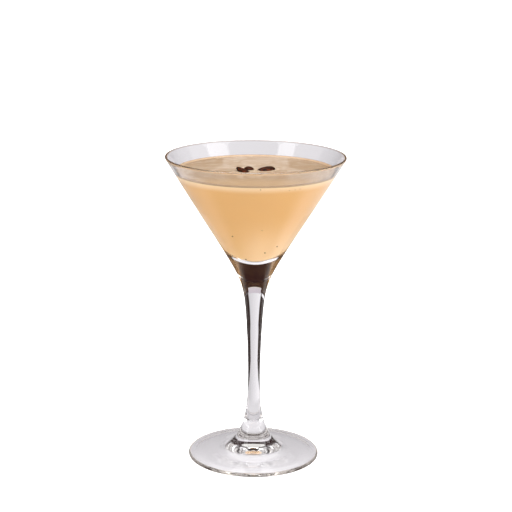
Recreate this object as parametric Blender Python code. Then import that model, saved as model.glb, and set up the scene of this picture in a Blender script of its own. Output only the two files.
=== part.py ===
"""A flat white martini: a creamy coffee drink in a stemmed cocktail glass, with three coffee beans floating on it.

Run it with blender --background --python part.py, or from Blender's text editor.
Lengths are in metres, +Z is up, and the origin is the middle of the foot, on the surface that it stands on.
"""

import math

import bmesh
import bpy
from mathutils import Euler, Matrix, Vector

# The glass as a whole
GLASS_HEIGHT = 0.1812
RIM_RADIUS = 0.0520
FOOT_RADIUS = 0.0387

# The wall and its rounded rim
RIM_ROUNDING = 0.0007
WALL_AT_RIM = 0.00164  # measured level
WALL_GROWTH = 0.015  # how much thicker the wall is for each length further down

# The outer side: the bowl and the stem are two lines joined by one smooth curve
BOWL_SLOPE = 0.60  # radius over height, just below the rim
BOWL_SWELL = 0.53  # the side leans further out lower down, in radius over height squared
STEM_RADIUS = 0.00315  # at the stem's middle, before both flares are added
STEM_TAPER = 0.027
STEM_MIDDLE = 0.060
NECK_ROUNDING = 0.0039

# The foot: the stem spreads into it like a trumpet
FLARE_RADIUS = 0.0210
FLARE_LENGTH = 0.0124
FLARE_JOIN = 0.0195  # below this height the trumpet's height follows from its radius
FOOT_EDGE_RADIUS = 0.0012
FOOT_TOP_SLOPE = 0.09
FOOT_BLEND = 0.0006
UNDERSIDE_RADIUS = 0.035  # the foot is hollow inside this, and stands on the ring outside it
UNDERSIDE_RISE = 0.0008
UNDERSIDE_POWER = 12  # the higher, the steeper the hollow's edge is
DOME_RADIUS = 0.022  # below the stem the hollow rises further, as a dome
DOME_RISE = 0.0045

# The inside of the bowl
BOWL_BOTTOM = 0.1217
BOTTOM_RISE = 0.033  # height over which the round bottom runs into the straight side

# The drink
DRINK_LEVEL = 0.1725
MENISCUS_RISE = 0.0007
MENISCUS_WIDTH = 0.0026
GAP = 0.0003  # between pieces that touch

# How finely round things are cut
ROUND_STEPS = 64
DOME_RINGS = 4
HOLLOW_RADII = (0.030, 0.0333, 0.0344, 0.035)
TRUMPET_RINGS = 11
STEM_RINGS = 22
NECK_TOP = 0.130  # the rings of the outer side are closer together below this height
OUTER_BOWL_RINGS = 5
BOTTOM_RINGS = 11
BOWL_RINGS = 3
ARC_STEPS = 6  # in the foot's edge and in the rim
BEAN_STEPS_AROUND = 22
BEAN_STEPS_ALONG = 12

# Each bean: name, (length, width, thickness), centre, (roll, pitch, yaw) in degrees
BEANS = (
    ("bean_front", (0.0109, 0.0058, 0.0036), (-0.0063, -0.0027, 0.17234), (165, 21, -23)),
    ("bean_back", (0.0100, 0.0065, 0.0045), (-0.0040, 0.0053, 0.17128), (2, 7, 100)),
    ("bean_right", (0.0116, 0.0072, 0.0048), (0.0060, 0.0023, 0.17206), (186, -7, 31)),
)
BEAN_BACK_SHARE = 0.58  # of the thickness
CREASE_DEPTH = 0.0010
CREASE_WIDTH = 0.0008
CREASE_BEND = 0.0005


def clear_scene():
    """Removes whatever the open file holds."""
    for obj in list(bpy.data.objects):
        bpy.data.objects.remove(obj, do_unlink=True)


def material(name, colour, roughness, transmission=0.0):
    """A plain Principled material, with its colour as linear red, green and blue."""
    made = bpy.data.materials.new(name)
    made.use_nodes = True
    shader = made.node_tree.nodes["Principled BSDF"]
    shader.inputs["Base Color"].default_value = (*colour, 1.0)
    shader.inputs["Roughness"].default_value = roughness
    shader.inputs["Metallic"].default_value = 0.0
    shader.inputs["Transmission Weight"].default_value = transmission
    made.diffuse_color = (*colour, 1.0)
    return made


def between(start, end, steps):
    """Evenly spaced values from start to end, both included."""
    return [start + (end - start) * i / steps for i in range(steps + 1)]


def arc(centre, radius, start, end, steps):
    """Points (radius from the axis, height) along a circular arc, its ends given as angles above level."""
    return [
        (centre[0] + radius * math.cos(a), centre[1] + radius * math.sin(a))
        for a in between(start, end, steps)
    ]


def rim_arc():
    """The rounded rim in profile, from the wall's outer side over the top to its inner side."""
    lean = math.atan(BOWL_SLOPE)
    centre = (RIM_RADIUS - RIM_ROUNDING, GLASS_HEIGHT - RIM_ROUNDING)
    return arc(centre, RIM_ROUNDING, -lean, math.pi - lean, ARC_STEPS)


def plain_stem_radius(height):
    """Radius of the stem's own taper, without its flares."""
    return STEM_RADIUS + STEM_TAPER * (height - STEM_MIDDLE)


def side_radius(height):
    """Radius of the outer side between the foot's trumpet and the rim."""
    edge_radius, edge_height = rim_arc()[0]
    stem = plain_stem_radius(height)
    setback = NECK_ROUNDING**2 / (edge_radius - plain_stem_radius(edge_height))
    drop = edge_height - height
    bowl = edge_radius - setback - BOWL_SLOPE * drop - BOWL_SWELL * drop**2
    joined = (bowl + stem) / 2 + math.hypot((bowl - stem) / 2, NECK_ROUNDING)
    return joined + FLARE_RADIUS * math.exp(-height / FLARE_LENGTH)


def foot_top(radius):
    """Height of the foot's upper side, which runs up into the trumpet."""
    stem = side_radius(FLARE_JOIN) - FLARE_RADIUS * math.exp(-FLARE_JOIN / FLARE_LENGTH)
    plate = 2 * FOOT_EDGE_RADIUS + FOOT_TOP_SLOPE * (FOOT_RADIUS - FOOT_EDGE_RADIUS - radius)
    trumpet = -FLARE_LENGTH * math.log((radius - stem) / FLARE_RADIUS)
    return plate + FOOT_BLEND * math.log1p(math.exp((trumpet - plate) / FOOT_BLEND))


def underside_height(radius):
    """Height of the foot's hollow underside."""
    hollow = UNDERSIDE_RISE * (1 - (radius / UNDERSIDE_RADIUS) ** UNDERSIDE_POWER)
    dome = DOME_RISE * max(0.0, 1 - (radius / DOME_RADIUS) ** 2) ** 2
    return hollow + dome


def bowl_inside(clearance, top):
    """The bowl's inner side from the axis up to a height, drawn inwards by a clearance."""
    low = BOWL_BOTTOM + clearance
    inset = clearance * math.hypot(1.0, BOWL_SLOPE)

    def radius(height):
        wall = WALL_AT_RIM + WALL_GROWTH * (GLASS_HEIGHT - height)
        return side_radius(height) - wall - inset

    curve_end = BOWL_BOTTOM + BOTTOM_RISE
    step = BOTTOM_RISE / 30
    slope = (radius(curve_end + step) - radius(curve_end)) / step
    corner = radius(curve_end) - slope * (curve_end - low)
    points = [
        (2 * t * (1 - t) * corner + t**2 * radius(curve_end), (1 - t**2) * low + t**2 * curve_end)
        for t in between(0.0, 1.0, BOTTOM_RINGS)
    ]
    points += [(radius(z), z) for z in between(curve_end, top, BOWL_RINGS)[1:]]
    return points


def glass_profile():
    """The whole glass, from the middle of its underside out and up, over the rim and down inside."""
    dome = [(r, underside_height(r)) for r in between(0.0, DOME_RADIUS, DOME_RINGS)]
    hollow = [(r, underside_height(r)) for r in HOLLOW_RADII]
    edge_centre = (FOOT_RADIUS - FOOT_EDGE_RADIUS, FOOT_EDGE_RADIUS)
    edge = arc(edge_centre, FOOT_EDGE_RADIUS, -math.pi / 2, math.pi / 2, ARC_STEPS)
    narrowing = (side_radius(FLARE_JOIN) / edge_centre[0]) ** (1 / TRUMPET_RINGS)
    radii = [edge_centre[0] * narrowing**ring for ring in range(1, TRUMPET_RINGS)]
    foot = [(r, foot_top(r)) for r in radii]
    rim = rim_arc()
    stem = [(side_radius(z), z) for z in between(FLARE_JOIN, NECK_TOP, STEM_RINGS)]
    bowl = [(side_radius(z), z) for z in between(NECK_TOP, rim[0][1], OUTER_BOWL_RINGS)[1:-1]]
    inside = bowl_inside(0.0, rim[-1][1])[:-1]
    return dome + hollow + edge + foot + stem + bowl + rim + inside[::-1]


def drink_profile():
    """The drink, from the bottom of the bowl up to its level, with its surface climbing a little at the glass."""
    side = bowl_inside(GAP, DRINK_LEVEL + MENISCUS_RISE)
    edge_radius = side[-1][0]
    meniscus = [
        (edge_radius - MENISCUS_WIDTH * t, DRINK_LEVEL + MENISCUS_RISE * (1 - t) ** 2)
        for t in (0.3, 0.6, 1.0)
    ]
    surface = [(r, DRINK_LEVEL) for r in (0.029, 0.015, 0.0)]
    return side + meniscus + surface


def turned_mesh(name, profile):
    """A mesh turned about the Z axis, from a profile of (radius, height) that starts and ends on the axis."""
    shape = bmesh.new()
    points = [shape.verts.new((radius, 0.0, height)) for radius, height in profile]
    edges = [shape.edges.new(pair) for pair in zip(points, points[1:])]
    bmesh.ops.spin(
        shape,
        geom=points + edges,
        axis=(0, 0, 1),
        cent=(0, 0, 0),
        angle=2 * math.pi,
        steps=ROUND_STEPS,
        use_merge=True,
    )
    bmesh.ops.remove_doubles(shape, verts=shape.verts, dist=1e-6)
    shape.normal_update()
    bmesh.ops.recalc_face_normals(shape, faces=shape.faces)
    mesh = bpy.data.meshes.new(name)
    shape.to_mesh(mesh)
    shape.free()
    return mesh


def bean_mesh(name, size, swell=0.0, creased=True):
    """A coffee bean along X, with its domed back towards +Z and its flatter, creased face towards -Z."""
    length, width, thickness = (part + 2 * swell for part in size)
    shape = bmesh.new()
    bmesh.ops.create_uvsphere(
        shape, u_segments=BEAN_STEPS_AROUND, v_segments=BEAN_STEPS_ALONG, radius=1.0
    )
    for vert in shape.verts:
        along = vert.co.z
        girth = math.sqrt(max(0.0, 1 - along**2))
        around = math.atan2(vert.co.y, vert.co.x)
        around -= 0.4 * math.cos(around)  # crowds the edges towards the crease
        across = girth * math.cos(around)
        up = girth * math.sin(around)
        y = 0.5 * width * across * (1 - 0.1 * along)
        if up > 0:
            z = BEAN_BACK_SHARE * thickness * up
        else:
            z = -(1 - BEAN_BACK_SHARE) * thickness * (-up) ** 0.7
            off_crease = y - CREASE_BEND * math.sin(math.pi * along)
            if creased:
                z += CREASE_DEPTH * girth * math.exp(-((off_crease / CREASE_WIDTH) ** 2))
        vert.co = Vector((0.5 * length * along, y, z))
    mesh = bpy.data.meshes.new(name)
    shape.to_mesh(mesh)
    shape.free()
    return mesh


def place(name, mesh, finish=None, centre=(0.0, 0.0, 0.0), turn_deg=(0.0, 0.0, 0.0)):
    """Puts a mesh in the scene as a smooth-shaded object."""
    obj = bpy.data.objects.new(name, mesh)
    bpy.context.scene.collection.objects.link(obj)
    if finish:
        mesh.materials.append(finish)
    mesh.shade_smooth()
    mesh.set_sharp_from_angle(angle=math.radians(40))
    turn = Euler([math.radians(a) for a in turn_deg]).to_matrix().to_4x4()
    obj.matrix_world = Matrix.Translation(centre) @ turn
    return obj


def cut_pocket(drink, name, size, centre, turn_deg):
    """Cuts room for a floating bean out of the drink."""
    cutter_name = "pocket_" + name
    shape = bean_mesh(cutter_name, size, swell=GAP, creased=False)
    cutter = place(cutter_name, shape, None, centre, turn_deg)
    cutter.hide_render = True
    cutter.display_type = "WIRE"
    cut = drink.modifiers.new(cutter_name, "BOOLEAN")
    cut.operation = "DIFFERENCE"
    cut.object = cutter
    cut.solver = "EXACT"


def main():
    clear_scene()
    clear_glass = material("clear_glass", (0.95, 0.96, 0.96), 0.0, transmission=1.0)
    creamy_coffee = material("creamy_coffee", (0.86, 0.53, 0.27), 0.25)
    roasted_bean = material("roasted_bean", (0.035, 0.012, 0.005), 0.35)
    place("glass", turned_mesh("glass", glass_profile()), clear_glass)
    drink = place("drink", turned_mesh("drink", drink_profile()), creamy_coffee)
    for name, size, centre, turn_deg in BEANS:
        place(name, bean_mesh(name, size), roasted_bean, centre, turn_deg)
        cut_pocket(drink, name, size, centre, turn_deg)


main()
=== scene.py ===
"""The looks of a flat white martini: clear glass, creamy coffee drink, roasted beans, specks and bubbles.

Lengths are in metres, +Z is up, -Y is towards the viewer, and the glass stands on its foot at the origin.
"""

import math
import random

import bmesh
import bpy
from mathutils import Euler, Matrix, Vector


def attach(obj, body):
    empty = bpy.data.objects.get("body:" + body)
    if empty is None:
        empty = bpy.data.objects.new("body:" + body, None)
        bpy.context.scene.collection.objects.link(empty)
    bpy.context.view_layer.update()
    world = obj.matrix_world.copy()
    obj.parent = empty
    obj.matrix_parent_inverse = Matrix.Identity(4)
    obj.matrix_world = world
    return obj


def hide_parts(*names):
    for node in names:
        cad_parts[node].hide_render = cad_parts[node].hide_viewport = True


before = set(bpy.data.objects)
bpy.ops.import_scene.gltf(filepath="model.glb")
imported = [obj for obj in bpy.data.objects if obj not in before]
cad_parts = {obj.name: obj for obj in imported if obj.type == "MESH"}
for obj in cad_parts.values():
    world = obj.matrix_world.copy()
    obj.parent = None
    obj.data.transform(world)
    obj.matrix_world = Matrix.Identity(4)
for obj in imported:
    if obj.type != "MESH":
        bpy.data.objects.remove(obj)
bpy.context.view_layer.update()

# The glass, with the same sizes as its solid
GLASS_HEIGHT = 0.1812
RIM_RADIUS = 0.0520
FOOT_RADIUS = 0.0387
RIM_ROUNDING = 0.0007
WALL_AT_RIM = 0.00164
WALL_GROWTH = 0.015
BOWL_SLOPE = 0.60
BOWL_SWELL = 0.53
STEM_RADIUS = 0.00315
STEM_TAPER = 0.027
STEM_MIDDLE = 0.060
NECK_ROUNDING = 0.0039
FLARE_RADIUS = 0.0210
FLARE_LENGTH = 0.0124
FLARE_JOIN = 0.0195
FOOT_EDGE_RADIUS = 0.0012
FOOT_TOP_SLOPE = 0.09
FOOT_BLEND = 0.0006
UNDERSIDE_RADIUS = 0.035
UNDERSIDE_RISE = 0.0008
UNDERSIDE_POWER = 12
DOME_RADIUS = 0.022
DOME_RISE = 0.0045
BOWL_BOTTOM = 0.1217
BOTTOM_RISE = 0.033

# How finely the turned shapes are drawn
TURNED_STEPS = 192
ARC_STEPS = 14
CURVE_STEPS = 60
TRUMPET_RINGS = 48
STEM_STEPS = 110
NECK_TOP = 0.135  # the stem's fine steps end here
WALL_STEPS = 24
DRINK_WALL_STEPS = 30
MENISCUS_STEPS = 10
SURFACE_STEPS = 18
INNER_SURFACE_STEPS = 32
INNER_SURFACE_RADIUS = 0.016  # the drink's top is drawn more finely within this
BEAN_SEGMENTS, BEAN_RINGS = 96, 64
DISC_SEGMENTS = 96

# The drink
DRINK_LEVEL = 0.1725
MENISCUS_RISE = 0.0007
MENISCUS_WIDTH = 0.0026
WETTING = 0.00008  # how far the drink reaches into the wall, so that no air shows between them

# Each bean: name, (length, width, thickness), centre, (roll, pitch, yaw) in degrees
BEANS = (
    ("bean_front", (0.0109, 0.0058, 0.0036), (-0.0063, -0.0027, 0.17234), (165, 21, -23)),
    ("bean_back", (0.0100, 0.0065, 0.0045), (-0.0040, 0.0053, 0.17128), (2, 7, 100)),
    ("bean_right", (0.0116, 0.0072, 0.0048), (0.0060, 0.0023, 0.17206), (186, -7, 31)),
)
BEAN_BACK_SHARE = 0.58
BEAN_TAPER = 0.1
BEAN_GATHERING = 0.4  # gathers the points near the crease
BEAN_FACE_POWER = 0.7  # below 1 it flattens the face with the crease
CREASE_WAVE = 0.0005
CREASE_DEPTH = 0.0013
CREASE_WIDTH = 0.0005
CREASE_COLOUR_WIDTH = 0.0004

# Fine specks on the drink's side: azimuth in degrees, height and radius
SPECKS = (
    (-30.5, 0.1396, 0.00042),
    (38.7, 0.1329, 0.00042),
    (20.0, 0.1293, 0.00042),
    (-27.4, 0.1249, 0.00042),
    (7.7, 0.1445, 0.00026),
    (3.5, 0.1711, 0.00026),
    (24.5, 0.1700, 0.00019),
    (29, 0.1701, 0.00019),
    (33, 0.1703, 0.00019),
    (-52, 0.1520, 0.00024),
    (118, 0.1415, 0.00040),
    (171, 0.1502, 0.00042),
    (204, 0.1336, 0.00036),
    (262, 0.1448, 0.00040),
)

# Bubbles on the drink: how many, their radii, and how far they lie from a bean and from the meniscus
BUBBLES_PER_BEAN = 26
WALL_BUBBLES = 90
BUBBLE_RADII = (0.00010, 0.00026)
BUBBLE_TO_BEAN = (0.0004, 0.0022)
BUBBLE_TO_WALL = (0.0003, 0.0016)
BUBBLE_FLATTENING = 0.6
BUBBLE_SEED = 7

# Colours of the object
GLASS_TINT = (0.97, 0.965, 0.975)
# Painted shade: the glass's colour along the rim, darker and browner
RIM_PAINTED_SHADE = (0.66, 0.58, 0.55)
FOOT_EDGE_TINT = (0.97, 0.91, 0.83)
DRINK_COLOUR = (0.8, 0.5, 0.26)
DRINK_SIDE = (0.83, 0.50, 0.203)
# Painted light: the drink is paler low in front and to the right, as if lit from there
DRINK_PAINTED_LOW_FRONT_LIGHT = (0.95, 0.64, 0.345)
# Painted shade: the drink is darker low behind
DRINK_PAINTED_LOW_BACK_SHADE = (0.32, 0.18, 0.09)
# Painted shade: the drink is darker at its very bottom
DRINK_PAINTED_BOTTOM_SHADE = (0.40, 0.22, 0.11)
DRINK_NEAR_TOP = (0.95, 0.70, 0.42)
SURFACE_DARK = (0.50, 0.345, 0.215)
SURFACE_PALE = (0.585, 0.44, 0.31)
SURFACE_SWIRLS = (0.70, 0.55, 0.40)
SURFACE_LINE = (0.33, 0.20, 0.11)
SURFACE_EDGE = (0.48, 0.32, 0.20)
SURFACE_FRONT = (0.73, 0.50, 0.28)
FROTH_RING = (0.80, 0.64, 0.46)
FROTH_COLOUR = (0.78, 0.62, 0.44)
FROTH_DARK = (0.55, 0.38, 0.22)
FROTH_PALE = (0.88, 0.74, 0.56)
BEAN_COLOUR = (0.04, 0.013, 0.005)
BEAN_DARK = (0.014, 0.0042, 0.0008)
BEAN_RED = (0.13, 0.026, 0.006)
BEAN_CREASE = (0.20, 0.075, 0.05)

# Where those colours change: the place where a change starts, and the place where it is complete
# The rim's painted shade fades in between these heights
RIM_PAINTED_SHADE_HEIGHTS = (GLASS_HEIGHT - 0.0009, GLASS_HEIGHT - 0.0004)
FOOT_EDGE_SQUARES = (0.0372**2, 0.0378**2)
FOOT_EDGE_HEIGHTS = (0.0031, 0.0025)
# Heights of the painted light low in front
PAINTED_LOW_FRONT_LIGHT_HEIGHTS = (0.155, 0.126)
# Heights of the painted shade low behind
PAINTED_LOW_BACK_SHADE_HEIGHTS = (0.156, 0.128)
# Heights of the painted shade at the drink's very bottom
PAINTED_BOTTOM_SHADE_HEIGHTS = (0.1235, 0.1225)
NEAR_TOP_HEIGHTS = (DRINK_LEVEL - 0.0048, DRINK_LEVEL - 0.0006)
ON_TOP_HEIGHTS = (DRINK_LEVEL - 0.0004, DRINK_LEVEL - 0.0002)
SURFACE_FRONT_PLACES = (-0.016, -0.034)
FROTH_WIDTH = 0.0005

# How much of a colour shows where it is complete
# How strong the painted shade low behind is
PAINTED_LOW_BACK_SHADE_SHARE = 0.75
SWIRLS_SHARE = 0.5
LINE_SHARE = 0.6
EDGE_SHARE = 0.6
FRONT_SHARE = 0.7
FROTH_SHARE = 0.55
CREASE_SHARE = 0.8

# The camera, as it was fitted to the photograph
CAMERA_DISTANCE = 0.8677
CAMERA_HEIGHT = 0.3445
CAMERA_PITCH = math.radians(14.38)
CAMERA_ROLL = math.radians(0.5)
CAMERA_TURN = math.radians(0.04)
CAMERA_LENS = 108.5
SENSOR_WIDTH = 36.0

# The stage round the glass
FLOOR_RADIUS = 9.0
TABLE_RADIUS = 8.0
FLOOR_GAP = 0.0003  # keeps the floor's face apart from the foot's
AIM_HEIGHT = 0.10  # the soft lights and the curved screens stand round this height
SOFT_BOX_DISTANCE = 1.3
SCREEN_DISTANCE = 3.0
SCREEN_STEPS = 48
BACKDROP_TOP = 4.6  # in degrees above the aim
STRIP_DEGREES = 4
STRIP_RAYS = (2.993, 2.999)  # rays from the neck are shorter, and those from the front wall longer
OVERHEAD_ELEVATION = 51
OVERHEAD_SPREAD = math.radians(19)
CARD_ASIDE = 0.080  # the dark cards stand on both sides behind the glass
CARD_NEAR, CARD_FAR = 0.046, 0.18
CARD_HEIGHT = 0.09
CARD_TOP_HEIGHTS = (0.044, 0.054)  # above these a card is mirrored as pale
GLASS_BOUNCES = 64

# The stage's colours and brightness
WORLD_COLOUR = (0.020, 0.003, 0.004)
CLOTH = (0.66, 0.60, 0.65)
CLOTH_TOP_EDGE = (0.80, 0.74, 0.66)
STRIP_COLOUR = (0.60, 0.56, 0.58)
ROOM_DARK = (0.06, 0.05, 0.05)
ROOM_SIDES = (0.50, 0.47, 0.46)
OVERHEAD_COLOUR = (0.85, 0.83, 0.80)
CARD_THROUGH = (0.030, 0.015, 0.012)
CARD_MIRRORED = (0.03, 0.02, 0.018)
CARD_TOP_MIRRORED = (0.75, 0.75, 0.75)
CARD_SHINE = (1.6, 1.6, 1.6)
TABLE_TINT = (1.0, 0.975, 1.0)
TABLE_SIDES = (0.035, 0.018, 0.015)
TABLE_LIGHT = 0.86
RIGHT_SIDE_LIGHT = 0.40  # how much brighter than the middle the table is to the right
RIGHT_BACK_LIGHT = -0.40  # and the same for the right far behind
TABLE_SHINE = 1.6
ROOM_SHINE = 1.7
FLOOR_STRENGTH = 1.3
FLOOR_COLOUR = (0.8, 0.8, 0.8)

# By what part the table is dimmed: mirrored inside the glass before it and in its middle, mirrored on
# the glass close behind it, and as light on the drink's back
BEFORE_GLASS_DIMMING = 0.85
MIDDLE_DIMMING = 0.7
CLOSE_BEHIND_DIMMING = 0.8
BACK_SHINE_DIMMING = 0.35
BEHIND_GLASS_LIGHT = 0.25  # added where the table behind is mirrored inside the glass
BLACK = (0.0, 0.0, 0.0)
NEAR_AXIS = 0.01  # added to a distance that something is divided by


class Signal:
    """A number that varies over a surface. Sums on it add Math nodes."""

    def __init__(self, finish, socket):
        self.finish = finish
        self.socket = socket

    def math(self, operation, *values):
        return self.finish.node("ShaderNodeMath", {"operation": operation}, dict(enumerate(values)))

    def at_most(self, limit):
        return self.math("MINIMUM", self, limit)

    def __add__(self, other):
        return self.math("ADD", self, other)

    __radd__ = __add__

    def __sub__(self, other):
        return self.math("SUBTRACT", self, other)

    def __rsub__(self, other):
        return self.math("SUBTRACT", other, self)

    def __mul__(self, other):
        return self.math("MULTIPLY", self, other)

    __rmul__ = __mul__

    def __truediv__(self, other):
        return self.math("DIVIDE", self, other)

    def __pow__(self, power):
        return self.math("POWER", self, power)


class Finish:
    """One material: a Principled shader with its constants set, and whatever nodes vary it."""

    def __init__(self, name, colour, **constants):
        self.material = bpy.data.materials.new(name)
        self.material.use_nodes = True
        self.tree = self.material.node_tree
        self.shader = self.tree.nodes["Principled BSDF"]
        self.shader.inputs["Base Color"].default_value = (*colour, 1.0)
        for socket, value in constants.items():
            self.shader.inputs[socket.replace("_", " ")].default_value = value

    def node(self, kind, settings=None, inputs=None, output=0):
        """Adds a node: its settings first, then the values or links of its sockets."""
        made = self.tree.nodes.new(kind)
        for name, value in (settings or {}).items():
            setattr(made, name, value)
        for socket, value in (inputs or {}).items():
            if isinstance(value, Signal):
                self.tree.links.new(value.socket, made.inputs[socket])
            else:
                made.inputs[socket].default_value = value
        return Signal(self, made.outputs[output])

    def feed(self, socket, signal):
        self.tree.links.new(signal.socket, self.shader.inputs[socket])

    def mix_shader(self, share, other):
        """Goes from the Principled shader to another one as a share goes from 0 to 1."""
        base = Signal(self, self.shader.outputs["BSDF"])
        mixed = self.node("ShaderNodeMixShader", None, {0: share, 1: base, 2: other})
        self.tree.links.new(mixed.socket, self.tree.nodes["Material Output"].inputs["Surface"])

    def place(self, location=(0, 0, 0), turn=(0, 0, 0), scale=(1, 1, 1)):
        """Object coordinates, moved, turned and stretched."""
        coordinates = self.node("ShaderNodeTexCoord", output="Object")
        return self.node(
            "ShaderNodeMapping",
            None,
            {"Vector": coordinates, "Location": location, "Rotation": turn, "Scale": scale},
        )

    def axes(self, vector):
        """The X, Y and Z of a vector."""
        split = self.node("ShaderNodeSeparateXYZ", None, {"Vector": vector})
        return [Signal(self, socket) for socket in split.socket.node.outputs]

    def ray(self, output):
        """What the ray that sees the surface has been through. Only the stage's finishes ask for it."""
        return self.node("ShaderNodeLightPath", output=output)

    def noise(self, vector, scale, detail=3.0, roughness=0.5, distortion=0.0):
        """Smooth noise between 0 and 1, with a given number of waves per metre."""
        inputs = {
            "Vector": vector,
            "Scale": scale,
            "Detail": detail,
            "Roughness": roughness,
            "Distortion": distortion,
        }
        return self.node("ShaderNodeTexNoise", None, inputs, "Fac")

    def step(self, signal, start, end, low=0.0, high=1.0):
        """Goes smoothly from low to high as a signal goes from start to end."""
        inputs = {0: signal, 1: start, 2: end, 3: low, 4: high}
        return self.node("ShaderNodeMapRange", {"interpolation_type": "SMOOTHSTEP"}, inputs)

    def grey(self, signal):
        """A signal as a grey colour."""
        return self.node("ShaderNodeCombineColor", None, {0: signal, 1: signal, 2: signal})

    def blend(self, share, first, second, mode="MIX"):
        """Goes from the first colour to the second as a share goes from 0 to 1."""
        first, second = (
            colour if isinstance(colour, Signal) else (*colour, 1.0) for colour in (first, second)
        )
        settings = {"data_type": "RGBA", "blend_type": mode}
        return self.node("ShaderNodeMix", settings, {0: share, 6: first, 7: second}, 2)

    def bump(self, height, strength, distance):
        """Makes the surface seem raised where a signal is high."""
        inputs = {"Height": height, "Strength": strength, "Distance": distance}
        self.feed("Normal", self.node("ShaderNodeBump", None, inputs))


def between(start, end, steps):
    """Evenly spaced values from start to end, both included."""
    return [start + (end - start) * i / steps for i in range(steps + 1)]


def arc(centre, radius, start, end):
    """Points (radius from the axis, height) along a circular arc, its ends given as angles above level."""
    return [
        (centre[0] + radius * math.cos(a), centre[1] + radius * math.sin(a))
        for a in between(start, end, ARC_STEPS)
    ]


def rim_arc():
    """The rounded rim in profile, from the wall's outer side over the top to its inner side."""
    lean = math.atan(BOWL_SLOPE)
    centre = (RIM_RADIUS - RIM_ROUNDING, GLASS_HEIGHT - RIM_ROUNDING)
    return arc(centre, RIM_ROUNDING, -lean, math.pi - lean)


def plain_stem_radius(height):
    """Radius of the stem's own taper, without its flares."""
    return STEM_RADIUS + STEM_TAPER * (height - STEM_MIDDLE)


def side_radius(height):
    """Radius of the outer side between the foot's trumpet and the rim."""
    edge_radius, edge_height = rim_arc()[0]
    stem = plain_stem_radius(height)
    setback = NECK_ROUNDING**2 / (edge_radius - plain_stem_radius(edge_height))
    drop = edge_height - height
    bowl = edge_radius - setback - BOWL_SLOPE * drop - BOWL_SWELL * drop**2
    joined = (bowl + stem) / 2 + math.hypot((bowl - stem) / 2, NECK_ROUNDING)
    return joined + FLARE_RADIUS * math.exp(-height / FLARE_LENGTH)


def foot_top(radius):
    """Height of the foot's upper side, which runs up into the trumpet."""
    stem = side_radius(FLARE_JOIN) - FLARE_RADIUS * math.exp(-FLARE_JOIN / FLARE_LENGTH)
    plate = 2 * FOOT_EDGE_RADIUS + FOOT_TOP_SLOPE * (FOOT_RADIUS - FOOT_EDGE_RADIUS - radius)
    trumpet = -FLARE_LENGTH * math.log((radius - stem) / FLARE_RADIUS)
    return plate + FOOT_BLEND * math.log1p(math.exp((trumpet - plate) / FOOT_BLEND))


def underside_height(radius):
    """Height of the foot's hollow underside, which rises further below the stem, as a dome."""
    hollow = UNDERSIDE_RISE * (1 - (radius / UNDERSIDE_RADIUS) ** UNDERSIDE_POWER)
    dome = DOME_RISE * max(0.0, 1 - (radius / DOME_RADIUS) ** 2) ** 2
    return hollow + dome


def bowl_inside(clearance, top, steps):
    """The bowl's inner side from the axis up to a height, drawn inwards by a clearance."""
    low = BOWL_BOTTOM + clearance
    inset = clearance * math.hypot(1.0, BOWL_SLOPE)

    def radius(height):
        wall = WALL_AT_RIM + WALL_GROWTH * (GLASS_HEIGHT - height)
        return side_radius(height) - wall - inset

    curve_end = BOWL_BOTTOM + BOTTOM_RISE
    step = 0.001
    slope = (radius(curve_end + step) - radius(curve_end)) / step
    corner = radius(curve_end) - slope * (curve_end - low)
    points = [
        (2 * t * (1 - t) * corner + t**2 * radius(curve_end), (1 - t**2) * low + t**2 * curve_end)
        for t in between(0.0, 1.0, CURVE_STEPS)
    ]
    points += [(radius(z), z) for z in between(curve_end, top, steps)[1:]]
    return points


def glass_profile():
    """The whole glass, from the middle of its underside out and up, over the rim and down inside."""
    underside = [(r, underside_height(r)) for r in between(0.0, UNDERSIDE_RADIUS, CURVE_STEPS)]
    edge_centre = (FOOT_RADIUS - FOOT_EDGE_RADIUS, FOOT_EDGE_RADIUS)
    edge = arc(edge_centre, FOOT_EDGE_RADIUS, -math.pi / 2, math.pi / 2)
    narrowing = (side_radius(FLARE_JOIN) / edge_centre[0]) ** (1 / TRUMPET_RINGS)
    radii = [edge_centre[0] * narrowing**ring for ring in range(1, TRUMPET_RINGS)]
    foot = [(r, foot_top(r)) for r in radii]
    rim = rim_arc()
    stem = [(side_radius(z), z) for z in between(FLARE_JOIN, NECK_TOP, STEM_STEPS)]
    bowl = [(side_radius(z), z) for z in between(NECK_TOP, rim[0][1], WALL_STEPS)[1:-1]]
    inside = bowl_inside(0.0, rim[-1][1], WALL_STEPS)[:-1]
    return underside + edge + foot + stem + bowl + rim + inside[::-1]


def turned_shape(profile):
    """A closed shape turned about the Z axis, from a profile of (radius, height) that ends on the axis."""
    shape = bmesh.new()
    points = [shape.verts.new((radius, 0.0, height)) for radius, height in profile]
    edges = [shape.edges.new(pair) for pair in zip(points, points[1:])]
    bmesh.ops.spin(
        shape,
        geom=points + edges,
        axis=(0, 0, 1),
        cent=(0, 0, 0),
        angle=2 * math.pi,
        steps=TURNED_STEPS,
        use_merge=True,
    )
    bmesh.ops.remove_doubles(shape, verts=shape.verts, dist=1e-6)
    shape.normal_update()
    bmesh.ops.recalc_face_normals(shape, faces=shape.faces)
    return shape


def add_object(name, shape, finish):
    """Puts a shape in the scene as an object of one finish."""
    mesh = bpy.data.meshes.new(name)
    shape.to_mesh(mesh)
    shape.free()
    mesh.materials.append(finish.material)
    obj = bpy.data.objects.new(name, mesh)
    bpy.context.scene.collection.objects.link(obj)
    return obj


def piece(name, shape, finish):
    """A smooth piece of the object, which rides with the glass."""
    obj = add_object(name, shape, finish)
    obj.data.shade_smooth()
    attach(obj, "root")
    return obj


def stage_piece(name, shape, finish):
    """A piece of the stage, which isn't part of the object."""
    obj = add_object(name, shape, finish)
    return obj


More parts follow.
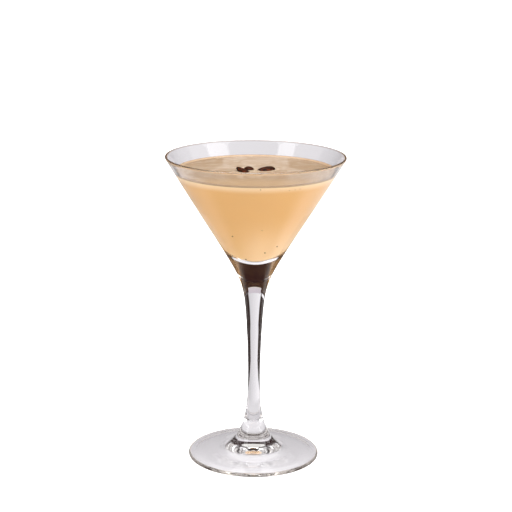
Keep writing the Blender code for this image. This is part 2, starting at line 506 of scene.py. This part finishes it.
def clear_glass_finish():
    """Clear, polished glass with faint waves from being formed, tinted at its foot's edge, and with painted
    shade that makes its rim darker and browner.
    """
    glass = Finish("clear_glass", GLASS_TINT, Transmission_Weight=1.0, IOR=1.52, Roughness=0.0)
    where = glass.place()
    glass.bump(glass.noise(where, scale=55.0, detail=1.0), strength=0.05, distance=0.0006)
    x, y, height = glass.axes(where)
    at_rim = glass.step(height, *RIM_PAINTED_SHADE_HEIGHTS)
    at_foot_edge = glass.step(x * x + y * y, *FOOT_EDGE_SQUARES) * glass.step(height, *FOOT_EDGE_HEIGHTS)
    # Painted shade: the rim's glass is made darker and browner
    tint_and_rim_shade = glass.blend(at_rim, GLASS_TINT, RIM_PAINTED_SHADE)
    glass.feed("Base Color", glass.blend(at_foot_edge, tint_and_rim_shade, FOOT_EDGE_TINT))
    return glass


def drink_side_colour(coffee, x, y, height):
    """The drink against the glass: paler near the top, with painted light low in front and painted shade low
    behind and at its very bottom.
    """
    to_the_right = coffee.step(x, -0.012, 0.003, low=0.2)
    # Painted light: paler low in front and to the right
    painted_low_front_light = coffee.step(height, *PAINTED_LOW_FRONT_LIGHT_HEIGHTS) * to_the_right * coffee.step(y, 0.004, -0.004)
    colour = coffee.blend(painted_low_front_light, DRINK_SIDE, DRINK_PAINTED_LOW_FRONT_LIGHT)
    # Painted shade: darker low behind
    painted_low_back_shade = coffee.step(height, *PAINTED_LOW_BACK_SHADE_HEIGHTS) * coffee.step(y, -0.003, 0.010)
    colour = coffee.blend(painted_low_back_shade * PAINTED_LOW_BACK_SHADE_SHARE, colour, DRINK_PAINTED_LOW_BACK_SHADE)
    # Painted shade: darker at the very bottom
    colour = coffee.blend(coffee.step(height, *PAINTED_BOTTOM_SHADE_HEIGHTS), colour, DRINK_PAINTED_BOTTOM_SHADE)
    return coffee.blend(coffee.step(height, *NEAR_TOP_HEIGHTS), colour, DRINK_NEAR_TOP)


def drink_surface_colour(coffee, x, y):
    """The drink's top: marbled, a dark line and edge where it meets the wall, froth round the beans."""
    radius = (x * x + y * y) ** 0.5
    flat = coffee.place(scale=(1, 1, 0))
    marbling = coffee.noise(flat, scale=75.0, detail=4.0, roughness=0.55, distortion=1.4)
    colour = coffee.blend(coffee.step(marbling, 0.35, 0.68), SURFACE_DARK, SURFACE_PALE)
    drawn_out = coffee.place(turn=(0, 0, 0.3), scale=(0.45, 1.3, 0))
    swirls = coffee.noise(drawn_out, scale=120.0, detail=5.0, distortion=2.2)
    colour = coffee.blend(coffee.step(swirls, 0.56, 0.66) * SWIRLS_SHARE, colour, SURFACE_SWIRLS)
    edge = drink_edge_radius() - MENISCUS_WIDTH
    outside_line = coffee.step(radius, edge + 0.0006, edge + 0.0001)
    line = coffee.step(radius, edge - 0.0009, edge - 0.0003) * outside_line
    colour = coffee.blend(line * LINE_SHARE, colour, SURFACE_LINE)
    at_edge = coffee.step(radius, edge, edge + 0.0012)
    colour = coffee.blend(at_edge * EDGE_SHARE, colour, SURFACE_EDGE)
    front = coffee.step(y, *SURFACE_FRONT_PLACES) * coffee.step(radius, edge, edge - 0.002)
    colour = coffee.blend(front * FRONT_SHARE, colour, SURFACE_FRONT)
    froth = coffee.step(coffee.noise(flat, scale=900.0, detail=2.0), 0.30, 0.62)
    for _, size, centre, turn_deg in BEANS:
        ring = coffee.step(reach_from_bean(x, y, size, centre, turn_deg), 1.5, 1.0) * froth
        colour = coffee.blend(ring * FROTH_SHARE, colour, FROTH_RING)
    return colour


def reach_from_bean(x, y, size, centre, turn_deg):
    """How far a place on the drink lies from a bean's middle, where 1 is just outside the bean."""
    yaw = math.radians(turn_deg[2])
    along = (x - centre[0]) * math.cos(yaw) + (y - centre[1]) * math.sin(yaw)
    across = (y - centre[1]) * math.cos(yaw) - (x - centre[0]) * math.sin(yaw)
    half_length = 0.5 * size[0] + FROTH_WIDTH
    half_width = 0.5 * size[1] + FROTH_WIDTH
    return ((along / half_length) ** 2 + (across / half_width) ** 2) ** 0.5


def creamy_coffee_finish():
    """A milky coffee drink: painted light and shade where it meets the glass, marbled and wet on top."""
    coffee = Finish("creamy_coffee", DRINK_COLOUR, IOR=1.34, Specular_IOR_Level=0.5)
    x, y, height = coffee.axes(coffee.place())
    on_top = coffee.step(height, *ON_TOP_HEIGHTS)
    side = drink_side_colour(coffee, x, y, height)
    coffee.feed("Base Color", coffee.blend(on_top, side, drink_surface_colour(coffee, x, y)))
    coffee.feed("Roughness", coffee.step(on_top, 0.0, 1.0, low=0.5, high=0.08))
    facing = coffee.node("ShaderNodeLayerWeight", None, {"Blend": 0.5}, "Facing")
    mirrored = coffee.step(facing, 0.46, 0.534) * (1 - on_top)
    mirror = coffee.node("ShaderNodeBsdfGlossy", None, {"Color": (1, 1, 1, 1), "Roughness": 0.0})
    coffee.mix_shader(mirrored, mirror)
    return coffee


def froth_finish():
    """Pale, wet froth of the same drink."""
    froth = Finish("pale_froth", FROTH_COLOUR, Roughness=0.15, IOR=1.34)
    mottle = froth.noise(froth.place(), scale=2500.0, detail=2.0)
    froth.feed("Base Color", froth.blend(mottle, FROTH_DARK, FROTH_PALE))
    return froth


def roasted_bean_finish():
    """Dark roasted bean, redder in patches and paler in its crease, satin."""
    bean = Finish("roasted_bean", BEAN_COLOUR, Roughness=0.5, Specular_IOR_Level=0.08)
    where = bean.place()
    patches = bean.noise(where, scale=700.0, detail=4.0, roughness=0.6)
    grain = bean.noise(where, scale=3500.0, detail=3.0)
    crease = bean.node("ShaderNodeAttribute", {"attribute_name": "crease"}, output="Fac")
    colour = bean.blend(bean.step(patches, 0.44, 0.68), BEAN_DARK, BEAN_RED)
    bean.feed("Base Color", bean.blend(crease * CREASE_SHARE, colour, BEAN_CREASE))
    bean.feed("Roughness", bean.step(grain, 0.3, 0.7, low=0.35, high=0.6))
    bean.bump(grain, strength=0.4, distance=0.0001)
    return bean


def make_glass(finish):
    glass = piece("clear_glass_body", turned_shape(glass_profile()), finish)
    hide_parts("glass")


def drink_wall(top):
    """The drink's side in profile, from the axis up to a height."""
    return bowl_inside(-WETTING, top, DRINK_WALL_STEPS)


def drink_edge_radius():
    """Radius of the line along which the drink's surface meets the wall."""
    return drink_wall(DRINK_LEVEL + MENISCUS_RISE)[-1][0]


def make_drink(finish):
    """The drink wets the glass, and its surface climbs a little where it meets the wall."""
    side = drink_wall(DRINK_LEVEL + MENISCUS_RISE)
    edge_radius = side[-1][0]
    meniscus = [
        (edge_radius - MENISCUS_WIDTH * t, DRINK_LEVEL + MENISCUS_RISE * (1 - t) ** 2)
        for t in between(0.0, 1.0, MENISCUS_STEPS)[1:]
    ]
    outer = between(meniscus[-1][0], INNER_SURFACE_RADIUS, SURFACE_STEPS)[1:]
    inner = between(INNER_SURFACE_RADIUS, 0.0, INNER_SURFACE_STEPS)[1:]
    surface = [(r, DRINK_LEVEL) for r in outer + inner]
    drink = piece("creamy_drink", turned_shape(side + meniscus + surface), finish)
    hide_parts("drink")


def bean_shape(size):
    """A coffee bean along X, with its domed back towards +Z and its flatter, creased face towards -Z."""
    length, width, thickness = size
    shape = bmesh.new()
    bmesh.ops.create_uvsphere(shape, u_segments=BEAN_SEGMENTS, v_segments=BEAN_RINGS, radius=1.0)
    crease = shape.verts.layers.float.new("crease")
    for vert in shape.verts:
        along = vert.co.z
        girth = math.sqrt(max(0.0, 1 - along**2))
        around = math.atan2(vert.co.y, vert.co.x)
        around -= BEAN_GATHERING * math.cos(around)
        across = girth * math.cos(around)
        up = girth * math.sin(around)
        y = 0.5 * width * across * (1 - BEAN_TAPER * along)
        if up > 0:
            z = BEAN_BACK_SHARE * thickness * up
        else:
            z = -(1 - BEAN_BACK_SHARE) * thickness * (-up) ** BEAN_FACE_POWER
            off_crease = y - CREASE_WAVE * math.sin(math.pi * along)
            z += CREASE_DEPTH * girth * math.exp(-((off_crease / CREASE_WIDTH) ** 2))
            vert[crease] = girth * math.exp(-((off_crease / CREASE_COLOUR_WIDTH) ** 2))
        vert.co = Vector((0.5 * length * along, y, z))
    return shape


def make_beans(finish):
    for name, size, centre, turn_deg in BEANS:
        shape = bean_shape(size)
        turn = Euler([math.radians(a) for a in turn_deg]).to_matrix().to_4x4()
        bmesh.ops.transform(shape, matrix=Matrix.Translation(centre) @ turn, verts=shape.verts)
        bean = piece("roasted_" + name, shape, finish)
        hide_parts(name)


def drink_side(azimuth, height):
    """A point where the drink's side meets the glass. Azimuth 0 is towards the viewer, 90 to the right."""
    side = drink_wall(DRINK_LEVEL)
    below, above = next(pair for pair in zip(side, side[1:]) if pair[1][1] >= height)
    share = (height - below[1]) / (above[1] - below[1])
    radius = below[0] + share * (above[0] - below[0])
    a = math.radians(azimuth)
    return Vector((radius * math.sin(a), -radius * math.cos(a), height))


def make_specks(finish):
    """Fine specks of coffee in the drink where it meets the glass."""
    shape = bmesh.new()
    for azimuth, height, radius in SPECKS:
        place = Matrix.Translation(drink_side(azimuth, height))
        bmesh.ops.create_icosphere(shape, subdivisions=2, radius=radius, matrix=place)
    specks = piece("coffee_specks", shape, finish)


def make_bubbles(finish):
    """Small bubbles that lie on the drink, round the beans and along the wall."""
    rng = random.Random(BUBBLE_SEED)
    shape = bmesh.new()
    for _, size, centre, turn_deg in BEANS:
        turn = Matrix.Rotation(math.radians(turn_deg[2]), 3, "Z")
        for _ in range(BUBBLES_PER_BEAN):
            a = rng.uniform(0, 2 * math.pi)
            out = rng.uniform(*BUBBLE_TO_BEAN)
            along = (0.5 * size[0] + out) * math.cos(a)
            across = (0.5 * size[1] + out) * math.sin(a)
            spot = turn @ Vector((along, across, 0)) + Vector((centre[0], centre[1], 0))
            add_bubble(shape, spot, rng.uniform(*BUBBLE_RADII))
    open_radius = drink_edge_radius() - MENISCUS_WIDTH
    for _ in range(WALL_BUBBLES):
        a = rng.uniform(0, 2 * math.pi)
        reach = open_radius - rng.uniform(*BUBBLE_TO_WALL)
        spot = Vector((reach * math.cos(a), reach * math.sin(a), 0))
        add_bubble(shape, spot, rng.uniform(*BUBBLE_RADII))
    bubbles = piece("small_bubbles", shape, finish)


def add_bubble(shape, spot, radius):
    """A low dome of froth on the drink's surface."""
    flat = Matrix.Diagonal((1, 1, BUBBLE_FLATTENING, 1))
    place = Matrix.Translation((spot.x, spot.y, DRINK_LEVEL)) @ flat
    bmesh.ops.create_icosphere(shape, subdivisions=2, radius=radius, matrix=place)


def glowing_finish(name, strength=1.0, base=BLACK, glow=(1, 1, 1)):
    """A matt finish that gives off light of its own."""
    finish = Finish(name, base, Roughness=1.0, Specular_IOR_Level=0.0, Emission_Strength=strength)
    finish.shader.inputs["Emission Color"].default_value = (*glow, 1)
    return finish


def shine_by_path(finish, through, mirrored, shine):
    """Shows one colour through the glass, another mirrored on it, and lights the drink with a third."""
    entered = finish.ray("Transmission Depth").at_most(1)
    lit = finish.ray("Diffuse Depth").at_most(1)
    seen = finish.blend(entered, mirrored, through)
    finish.feed("Emission Color", finish.blend(lit, seen, shine))


def disc(radius, height):
    shape = bmesh.new()
    bmesh.ops.create_circle(shape, cap_ends=True, segments=DISC_SEGMENTS, radius=radius)
    bmesh.ops.translate(shape, verts=shape.verts, vec=(0, 0, height))
    return shape


def make_floor():
    floor = glowing_finish("pale_floor", FLOOR_STRENGTH, FLOOR_COLOUR)
    stage_piece("floor", disc(FLOOR_RADIUS, -FLOOR_GAP), floor)


def table_through_glass(glow, x, y, distance, right, back):
    """The table seen through the glass: lit, but dark far out on both sides behind the glass.

    Rays that were mirrored inside the glass find it darker before the glass and lighter behind it.
    """
    off_foot = glow.step(distance, 0.058, 0.078)
    lean = glow.step(back, 0.2, 0.8, RIGHT_SIDE_LIGHT, RIGHT_BACK_LIGHT)
    under_foot = glow.step(y, 0.04, -0.04, -0.06, 0.20) * (1 - off_foot)
    light = TABLE_LIGHT + lean * right * off_foot + under_foot
    bounced = glow.ray("Glossy Depth").at_most(1)
    before_glass = glow.step(back, -0.30, -0.80) * off_foot
    light = light * (1 - BEFORE_GLASS_DIMMING * before_glass * bounced)
    light = light + BEHIND_GLASS_LIGHT * bounced * glow.step(y, 0.05, 0.08)
    lit = glow.blend(1.0, TABLE_TINT, glow.grey(light), "MULTIPLY")
    straight_behind = glow.step(back, 0.89, 0.92)
    far_aside = glow.step(distance, 0.30, 0.36) * (1 - straight_behind) * glow.step(back, -0.1, 0.1)
    left_clear = glow.step(right, -0.44, -0.55) * glow.step(right, -0.90, -0.82) * (1 - bounced)
    colour = glow.blend(far_aside * (1 - left_clear), lit, TABLE_SIDES)
    in_middle = glow.step(x * x, 0.03**2, 0.02**2) * glow.step(y, 0.0, -0.02)
    return glow.blend(bounced * in_middle * MIDDLE_DIMMING, colour, BLACK)


def table_glow_finish():
    """The table as it shows through the glass and mirrored on it, and as it lights the drink."""
    glow = glowing_finish("table_glow")
    x, y, _ = glow.axes(glow.place())
    distance = (x * x + y * y) ** 0.5
    right = x / (distance + NEAR_AXIS)
    back = y / (distance + NEAR_AXIS)
    through = table_through_glass(glow, x, y, distance, right, back)
    mirrored = glow.step(back, -0.3, 0.3, low=0.10) * glow.step(right, -0.4, 0.4, low=0.6)
    close_behind = glow.step(back, 0.85, 0.93) * glow.step(distance, 0.31, 0.25)
    mirrored = mirrored * (1 - CLOSE_BEHIND_DIMMING * close_behind)
    aside = glow.step(right, 0.1, 0.9, high=0.40) + glow.step(right, -0.1, -0.9, high=0.10)
    at_back = glow.step(y, 0.0, 0.05) * glow.step(distance, 0.40, 0.20)
    shine = (TABLE_SHINE + aside) * (1 - BACK_SHINE_DIMMING * at_back)
    shine_by_path(glow, through, glow.grey(mirrored), glow.grey(shine))
    return glow


def seen_in_glass_only(obj):
    obj.visible_camera = obj.visible_diffuse = obj.visible_shadow = False


def make_table_glow():
    table = stage_piece("table_glow", disc(TABLE_RADIUS, -FLOOR_GAP / 2), table_glow_finish())
    seen_in_glass_only(table)


def make_screen(finish, middle, spread, low, high):
    """A curved glowing screen far round the glass. Its azimuths count from straight behind, to the right."""
    shape = bmesh.new()
    bottom, top = (toward(180 - middle + spread, e, SCREEN_DISTANCE) for e in (low, high))
    points = [shape.verts.new(p) for p in (bottom, top)]
    edge = shape.edges.new(points)
    bmesh.ops.spin(
        shape,
        geom=[*points, edge],
        axis=(0, 0, 1),
        cent=(0, 0, 0),
        angle=-2 * math.radians(spread),
        steps=SCREEN_STEPS,
    )
    bmesh.ops.translate(shape, verts=shape.verts, vec=(0, 0, AIM_HEIGHT))
    screen = stage_piece(finish.material.name, shape, finish)
    seen_in_glass_only(screen)
    return screen


def make_backdrop():
    """The pale cloth behind the glass, with a cream top edge.

    The strip above it is pale for the bowl's front wall alone. The neck finds it as dark as the world.
    """
    finish = glowing_finish("backdrop")
    height = finish.axes(finish.place())[2]
    top = AIM_HEIGHT + SCREEN_DISTANCE * math.sin(math.radians(BACKDROP_TOP))
    near_top = finish.step(height, top - 0.045, top - 0.025)
    cloth = finish.blend(near_top, CLOTH, CLOTH_TOP_EDGE)
    above = finish.step(height, top - 0.0005, top + 0.0005)
    strip = finish.blend(finish.step(finish.ray("Ray Length"), *STRIP_RAYS), WORLD_COLOUR, STRIP_COLOUR)
    finish.feed("Emission Color", finish.blend(above, cloth, strip))
    make_screen(finish, middle=0, spread=22, low=-3, high=BACKDROP_TOP + STRIP_DEGREES)


def make_front_screen(name, low, high):
    """The dim room before the glass, lighter to the sides, from which the drink still gets its light."""
    finish = glowing_finish(name)
    x, _, _ = finish.axes(finish.place())
    aside = (x * x) ** 0.5
    seen = finish.blend(finish.step(aside, 0.9, 2.4), ROOM_DARK, ROOM_SIDES)
    shine = ROOM_SHINE + finish.step(x, 0.5, 2.6, high=1.6) + finish.step(x, -0.5, -2.6, high=0.9)
    shine_by_path(finish, seen, seen, finish.grey(shine))
    return make_screen(finish, middle=180, spread=112, low=low, high=high)


def make_overhead_disc():
    """A round light high behind the glass, which shows in the foot."""
    shape = bmesh.new()
    radius = SCREEN_DISTANCE * math.tan(OVERHEAD_SPREAD)
    bmesh.ops.create_circle(shape, cap_ends=True, segments=64, radius=radius)
    middle = toward(180, OVERHEAD_ELEVATION, SCREEN_DISTANCE)
    facing = middle.to_track_quat("-Z", "Y").to_matrix().to_4x4()
    bmesh.ops.transform(shape, verts=shape.verts, matrix=Matrix.Translation(middle) @ facing)
    finish = glowing_finish("overhead_disc", glow=OVERHEAD_COLOUR)
    seen_in_glass_only(stage_piece("overhead_disc", shape, finish))


def make_dark_card(name, aside):
    """A low dark card beside the glass, which draws the dark lines along the stem."""
    shape = bmesh.new()
    bmesh.ops.create_grid(shape, x_segments=1, y_segments=1, size=0.5)
    bmesh.ops.scale(shape, verts=shape.verts, vec=(CARD_HEIGHT, CARD_FAR - CARD_NEAR, 1))
    bmesh.ops.rotate(shape, verts=shape.verts, matrix=Matrix.Rotation(math.pi / 2, 3, "Y"))
    middle = (aside, (CARD_NEAR + CARD_FAR) / 2, CARD_HEIGHT / 2)
    bmesh.ops.translate(shape, verts=shape.verts, vec=middle)
    finish = glowing_finish(name)
    near_top = finish.step(finish.axes(finish.place())[2], *CARD_TOP_HEIGHTS)
    mirrored = finish.blend(near_top, CARD_MIRRORED, CARD_TOP_MIRRORED)
    shine_by_path(finish, CARD_THROUGH, mirrored, CARD_SHINE)
    seen_in_glass_only(stage_piece(name, shape, finish))


def toward(azimuth, elevation, distance):
    """A point seen from the glass: azimuth 0 is towards the viewer, and grows to the viewer's right."""
    a, e = math.radians(azimuth), math.radians(elevation)
    return Vector((math.sin(a) * math.cos(e), -math.cos(a) * math.cos(e), math.sin(e))) * distance


def soft_box(name, azimuth, low, high, spread, strength):
    """A soft light that faces the glass, upright between two elevations, that the camera doesn't see."""
    light = bpy.data.lights.new(name, "AREA")
    light.shape = "RECTANGLE"
    light.size = 2 * SOFT_BOX_DISTANCE * math.tan(math.radians(spread))
    light.size_y = 2 * SOFT_BOX_DISTANCE * math.tan(math.radians(high - low) / 2)
    light.energy = strength * light.size * light.size_y * math.pi
    lamp = bpy.data.objects.new(name, light)
    bpy.context.scene.collection.objects.link(lamp)
    aim = Vector((0, 0, AIM_HEIGHT))
    lamp.location = aim + toward(azimuth, (low + high) / 2, SOFT_BOX_DISTANCE)
    lamp.rotation_euler = (aim - lamp.location).to_track_quat("-Z", "Y").to_euler()
    lamp.visible_camera = False


def make_world():
    """White to the camera, and nearly black to everything else."""
    world = bpy.data.worlds.new("studio")
    bpy.context.scene.world = world
    world.use_nodes = True
    nodes, links = world.node_tree.nodes, world.node_tree.links
    seen = nodes["Background"]
    seen.inputs["Color"].default_value = (1, 1, 1, 1)
    around = nodes.new("ShaderNodeBackground")
    around.inputs["Color"].default_value = (*WORLD_COLOUR, 1)
    path = nodes.new("ShaderNodeLightPath")
    mix = nodes.new("ShaderNodeMixShader")
    links.new(path.outputs["Is Camera Ray"], mix.inputs[0])
    links.new(around.outputs[0], mix.inputs[1])
    links.new(seen.outputs[0], mix.inputs[2])
    links.new(mix.outputs[0], nodes["World Output"].inputs["Surface"])


def make_lights():
    soft_box("soft_right", azimuth=68, low=12, high=60, spread=12.0, strength=2.0)
    soft_box("soft_left", azimuth=-55, low=12, high=60, spread=9.3, strength=2.2)
    soft_box("soft_top", azimuth=0, low=70, high=110, spread=25, strength=4.0)
    make_backdrop()
    make_overhead_disc()
    make_front_screen("front_top_screen", low=40, high=80)
    make_front_screen("front_screen", low=-2, high=40).visible_diffuse = True
    make_dark_card("dark_card_left", -CARD_ASIDE)
    make_dark_card("dark_card_right", CARD_ASIDE)
    make_world()


def let_light_through_glass():
    """Light bounces many times inside the rim and the foot's edge, which turn black with few bounces."""
    cycles = bpy.context.scene.cycles
    cycles.max_bounces = cycles.transmission_bounces = cycles.glossy_bounces = GLASS_BOUNCES


def make_camera():
    data = bpy.data.cameras.new("camera")
    data.lens = CAMERA_LENS
    data.sensor_width = SENSOR_WIDTH
    camera = bpy.data.objects.new("camera", data)
    bpy.context.scene.collection.objects.link(camera)
    aim = Euler((math.pi / 2 - CAMERA_PITCH, 0, -CAMERA_TURN)).to_matrix().to_4x4()
    roll = Matrix.Rotation(CAMERA_ROLL, 4, "Z")
    place = Matrix.Translation((0, -CAMERA_DISTANCE, CAMERA_HEIGHT))
    camera.matrix_world = place @ aim @ roll
    bpy.context.scene.camera = camera


def main():
    make_glass(clear_glass_finish())
    make_drink(creamy_coffee_finish())
    roasted_bean = roasted_bean_finish()
    make_beans(roasted_bean)
    make_specks(roasted_bean)
    make_bubbles(froth_finish())
    make_floor()
    make_table_glow()
    make_lights()
    make_camera()
    let_light_through_glass()
    bpy.context.scene.view_settings.view_transform = "Standard"


main()
